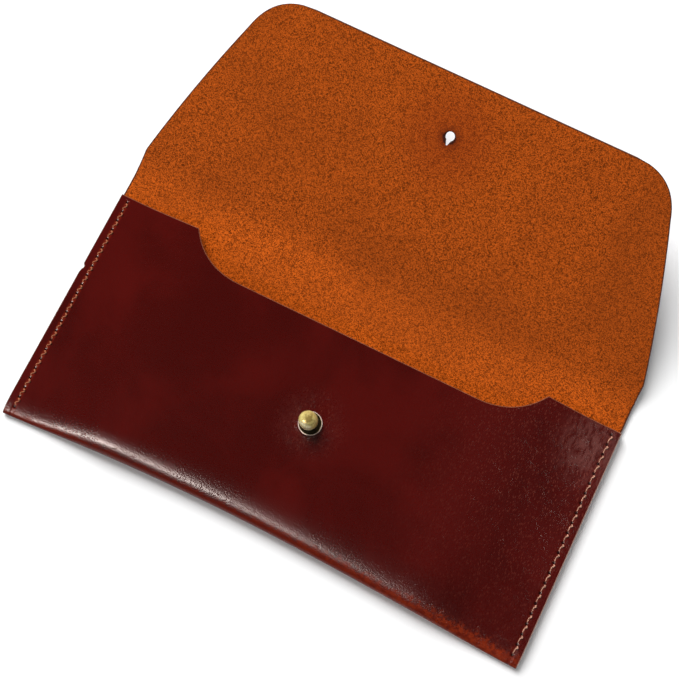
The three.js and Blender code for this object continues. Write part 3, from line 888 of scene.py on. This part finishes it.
def cut_edge():
    """The cut edge: dyed dark, rubbed pale along the front's right side and tan along its top."""
    material, nodes, shader = new_material("Cut edge")
    if not nodes:
        return material
    place = nodes.add("ShaderNodeTexCoord").outputs["Object"]
    parts = nodes.add("ShaderNodeSeparateXYZ", {0: place}).outputs
    fibre = nodes.noise(place, 700, 4, 0.6)
    dark = nodes.mix(fibre, *EDGE_DARK)
    pale = nodes.mix(fibre, *EDGE_PALE)
    tan = nodes.mix(fibre, *EDGE_TAN)
    at_side = nodes.ramp(parts["X"], HALF_WIDTH - 1.2 * MM, HALF_WIDTH - 0.6 * MM)
    pale = nodes.mix(at_side, tan, pale)
    on_front = nodes.ramp(parts["Z"], 2.0 * MM, 2.4 * MM)
    on_pocket = nodes.ramp(parts["Y"], FOLD_Y + FRONT_HEIGHT, FOLD_Y + FRONT_HEIGHT + 2 * MM, 1, 0)
    not_left = nodes.ramp(parts["X"], -HALF_WIDTH + 0.3 * MM, -HALF_WIDTH + 0.8 * MM)
    rubbed = nodes.math("MULTIPLY", nodes.math("MULTIPLY", on_front, on_pocket), not_left)
    colour = nodes.mix(rubbed, dark, pale)
    material.node_tree.links.new(colour, shader.inputs["Base Color"])
    shader.inputs["Roughness"].default_value = 0.7
    bump = nodes.add("ShaderNodeBump", {"Strength": 0.5, "Distance": 0.08 * MM, "Height": fibre})
    material.node_tree.links.new(bump.outputs[0], shader.inputs["Normal"])
    return material


def waxed_thread():
    """Waxed thread: tan, more orange on the left, with fine fibres and darker spots of wax."""
    material, nodes, shader = new_material("Waxed thread")
    if not nodes:
        return material
    place = nodes.add("ShaderNodeTexCoord").outputs["Object"]
    fibre = nodes.noise(place, 2600, 3, 0.6)
    wax = nodes.noise(place, 500, 2, 0.5)
    thread = settings().thread_colour
    colour = nodes.mix(nodes.ramp(fibre, 0.35, 0.65), rgba(thread, 0.6), rgba(thread, 1.3))
    colour = nodes.mix(nodes.ramp(wax, 0.5, 0.75, 0, 0.5), colour, rgba(thread, 0.35))
    parts = nodes.add("ShaderNodeSeparateXYZ", {0: place}).outputs
    soaked = nodes.ramp(parts["X"], -20 * MM, 20 * MM, 0.85, 0)
    colour = nodes.mix(soaked, colour, LEFT_THREAD)
    material.node_tree.links.new(colour, shader.inputs["Base Color"])
    shader.inputs["Roughness"].default_value = 0.55
    bump = nodes.add("ShaderNodeBump", {"Strength": 0.4, "Distance": 0.05 * MM, "Height": fibre})
    material.node_tree.links.new(bump.outputs[0], shader.inputs["Normal"])
    return material


def antique_brass():
    """Antique brass: brown tarnish in clouds, most of it near the ball's top, and a painted highlight on
    the near side.

    The cup is dark inside, and its raised ring has a painted pinkish glint.
    """
    material, nodes, shader = new_material("Antique brass")
    if not nodes:
        return material
    place = nodes.add("ShaderNodeTexCoord").outputs["Object"]
    cloud = nodes.noise(place, 520, 4, 0.6, 0.5)
    top = (STUD_PLACE.x - 0.2 * MM, STUD_PLACE.y + 0.3 * MM, STUD_HIGH[2])
    toward_top = nodes.ramp(nodes.distance(place, top), 1.6 * MM, 3.4 * MM, 1, 0.2)
    tarnish = nodes.math("MULTIPLY", nodes.ramp(cloud, 0.38, 0.62), toward_top)
    brass = rgba(settings().brass_colour)
    colour = nodes.mix(nodes.math("MULTIPLY", tarnish, 0.8), brass, BRASS_TARNISH)
    parts = nodes.add("ShaderNodeSeparateXYZ", {0: place}).outputs
    off_x = nodes.math("SUBTRACT", parts["X"], STUD_PLACE.x)
    off_y = nodes.math("SUBTRACT", parts["Y"], STUD_PLACE.y)
    radius = nodes.length(off_x, off_y)
    low = nodes.ramp(parts["Z"], FRONT_TOP + 1.2 * MM, FRONT_TOP + 2.2 * MM, 1, 0)
    # painted highlight: a bright crescent on the ball's near, lower side stands in for a reflection
    clear = nodes.ramp(cloud, 0.36, 0.56, 0.3, 1)
    painted_highlight = nodes.math("MULTIPLY", nodes.ramp(off_y, -1.3 * MM, -2.4 * MM), clear)
    colour = nodes.mix(nodes.math("MULTIPLY", painted_highlight, 0.8), colour, BRASS_PAINTED_HIGHLIGHT)
    in_cup = nodes.math("MULTIPLY", nodes.ramp(radius, 3.75 * MM, 3.95 * MM, 1, 0), low)
    colour = nodes.mix(in_cup, colour, CUP_DARK)
    # painted highlight: a pale pinkish glint along the cup's raised ring
    ring_glint = nodes.math("MULTIPLY", nodes.ramp(radius, 3.85 * MM, 4.0 * MM), low)
    colour = nodes.mix(ring_glint, colour, RING_PAINTED_GLINT)
    material.node_tree.links.new(colour, shader.inputs["Base Color"])
    rough = nodes.ramp(tarnish, 0, 1, 0.28, 0.42)
    material.node_tree.links.new(rough, shader.inputs["Roughness"])
    shader.inputs["Metallic"].default_value = 0.35
    bump = nodes.add("ShaderNodeBump", {"Strength": 0.15, "Distance": 0.05 * MM, "Height": cloud})
    material.node_tree.links.new(bump.outputs[0], shader.inputs["Normal"])
    return material


def white_floor():
    """The floor: plain white that keeps shadows; camera, mirror and glass rays see it brighter."""
    material, nodes, shader = new_material("White floor")
    if not nodes:
        return material
    shader.inputs["Base Color"].default_value = (0.9, 0.9, 0.9, 1)
    shader.inputs["Roughness"].default_value = 1.0
    shader.inputs["Specular IOR Level"].default_value = 0.0
    rays = nodes.add("ShaderNodeLightPath").outputs
    mirrored = nodes.math("MAXIMUM", rays["Is Glossy Ray"], rays["Is Transmission Ray"])
    seen = nodes.math("MAXIMUM", rays["Is Camera Ray"], mirrored)
    glow = nodes.math("MULTIPLY", seen, FLOOR_GLOW)
    shader.inputs["Emission Color"].default_value = (1, 1, 1, 1)
    material.node_tree.links.new(glow, shader.inputs["Emission Strength"])
    return material


def area_light(name, place, size, power, seen_by, aim=(0, 0, 0), colour=(1, 1, 1)):
    """A rectangular lamp whose first side runs across the wallet, lit for one kind of ray only."""
    light = bpy.data.lights.new(name, "AREA")
    light.shape = "RECTANGLE"
    light.size, light.size_y = size
    light.energy = power
    light.color = colour
    obj = bpy.data.objects.new(name, light)
    back = (Vector(place) - Vector(aim)).normalized()
    across = Vector((1, 0, 0))
    side = (across - back * back.dot(across)).normalized()
    turn = Matrix((side, back.cross(side), back)).transposed()
    obj.matrix_world = Matrix.Translation(place) @ turn.to_4x4()
    obj.visible_camera = False
    obj.visible_diffuse = seen_by == "diffuse"
    obj.visible_glossy = seen_by == "glossy"
    light.cycles.use_multiple_importance_sampling = obj.visible_glossy
    bpy.context.scene.collection.objects.link(obj)


def build_floor():
    """A wide white square just under the wallet."""
    size = 3.0
    corners = np.array([[-size, -size, 0], [size, -size, 0], [size, size, 0], [-size, size, 0]])
    corners[:, 2] = CAD_BOX[0][2] - 0.02 * MM
    floor = add_object("floor", corners, [[0, 1, 2, 3]])
    floor.data.materials.append(white_floor())


def build_lights():
    """Soft daylight from behind on the left, a weak fill, and a strip that shines on the fold."""
    area_light("key", (-1.02, 0.85, 1.36), size=(1.25, 1.3), power=56, seen_by="diffuse")
    area_light("fill", (0.3, -0.8, 1.0), size=(1.2, 0.8), power=1.2, seen_by="diffuse")
    area_light(
        "fold_strip", (-0.45, -0.87, 0.90), size=(0.72, 0.2), power=12, seen_by="glossy",
        aim=(0, -0.075, 0), colour=(1, 0.86, 0.8),
    )
    build_world()


def build_world():
    """Even grey light all round that hardly shows in reflections."""
    world = bpy.data.worlds.new("Studio")
    world.use_nodes = True
    nodes = Nodes(world.node_tree)
    glossy = nodes.add("ShaderNodeLightPath").outputs["Is Glossy Ray"]
    strength = nodes.ramp(glossy, 0, 1, WORLD_LIGHT, WORLD_MIRRORED, smooth=False)
    background = world.node_tree.nodes["Background"]
    background.inputs["Color"].default_value = (1, 1, 1, 1)
    world.node_tree.links.new(strength, background.inputs["Strength"])
    bpy.context.scene.world = world


def build_camera():
    """The camera at the photograph's angle, and plain display colours."""
    camera = bpy.data.cameras.new("camera")
    camera.sensor_width = 36
    camera.lens = FOCAL_PIXELS * camera.sensor_width / max(PHOTO_SIZE)
    camera.clip_start = 0.01
    obj = bpy.data.objects.new("camera", camera)
    side = VIEW_AHEAD.cross(VIEW_UP).normalized()
    up = side.cross(VIEW_AHEAD).normalized()
    turn = Matrix((side, up, -VIEW_AHEAD.normalized())).transposed()
    obj.matrix_world = Matrix.Translation((CAMERA_X, CAMERA_Y + FOLD_Y, CAMERA_Z)) @ turn.to_4x4()
    bpy.context.scene.collection.objects.link(obj)
    bpy.context.scene.camera = obj
    bpy.context.scene.view_settings.view_transform = "Standard"


class WALLET_OT_stage(Operator):
    """Adds the camera, the lights and the white floor"""

    bl_idname = "wallet.stage"
    bl_label = "Stage"

    def execute(self, context):
        build_camera()
        build_lights()
        build_floor()
        return {"FINISHED"}


class WALLET_OT_pocket(Operator):
    """Adds the leather of the pocket, from the notched front round the fold to the spine"""

    bl_idname = "wallet.pocket"
    bl_label = "Pocket leather"

    def execute(self, context):
        build_pocket_leather()
        return {"FINISHED"}


class WALLET_OT_flap(Operator):
    """Adds the leather of the flap, with its button hole"""

    bl_idname = "wallet.flap"
    bl_label = "Flap leather"

    def execute(self, context):
        build_flap_leather()
        return {"FINISHED"}


class WALLET_OT_seams(Operator):
    """Adds the two threads of each side seam"""

    bl_idname = "wallet.seams"
    bl_label = "Side seams"

    def execute(self, context):
        seam_x = HALF_WIDTH - SEAM_INSET
        for side, x, weave in (("left", -seam_x, 0.34 * MM), ("right", seam_x, 0)):
            build_thread(
                side + "_front_thread", x, height=0.08 * MM, dip=2.6 * MM, slant=0.55 * MM,
                weave=weave, on_front=True,
            )
            build_thread(side + "_back_thread", x, height=0.40 * MM, dip=1.5 * MM, slant=0.3 * MM)
        return {"FINISHED"}


class WALLET_OT_stud(Operator):
    """Adds the ball stud and finishes its screw"""

    bl_idname = "wallet.stud"
    bl_label = "Ball stud"

    def execute(self, context):
        build_stud()
        screw = frame["nodes"]["stud_screw"]
        screw.data.materials.clear()
        screw.data.materials.append(antique_brass())
        return {"FINISHED"}


class WALLET_PT_panel(Panel):
    bl_label = "Flap wallet"
    bl_idname = "WALLET_PT_panel"
    bl_space_type = "VIEW_3D"
    bl_region_type = "UI"
    bl_category = "Wallet"

    def draw(self, context):
        for name in WalletSettings.__annotations__:
            self.layout.prop(context.scene.wallet_settings, name)
        for operator in OPERATORS:
            self.layout.operator(operator.bl_idname)


OPERATORS = (WALLET_OT_stage, WALLET_OT_pocket, WALLET_OT_flap, WALLET_OT_seams, WALLET_OT_stud)
CLASSES = (WalletSettings, *OPERATORS, WALLET_PT_panel)


def register():
    for cls in CLASSES:
        bpy.utils.register_class(cls)
    bpy.types.Scene.wallet_settings = PointerProperty(type=WalletSettings)


def unregister():
    del bpy.types.Scene.wallet_settings
    for cls in reversed(CLASSES):
        bpy.utils.unregister_class(cls)


def main():
    register()
    bpy.ops.wallet.stage()
    bpy.ops.wallet.pocket()
    bpy.ops.wallet.flap()
    bpy.ops.wallet.seams()
    bpy.ops.wallet.stud()


if __name__ == "__main__":
    main()
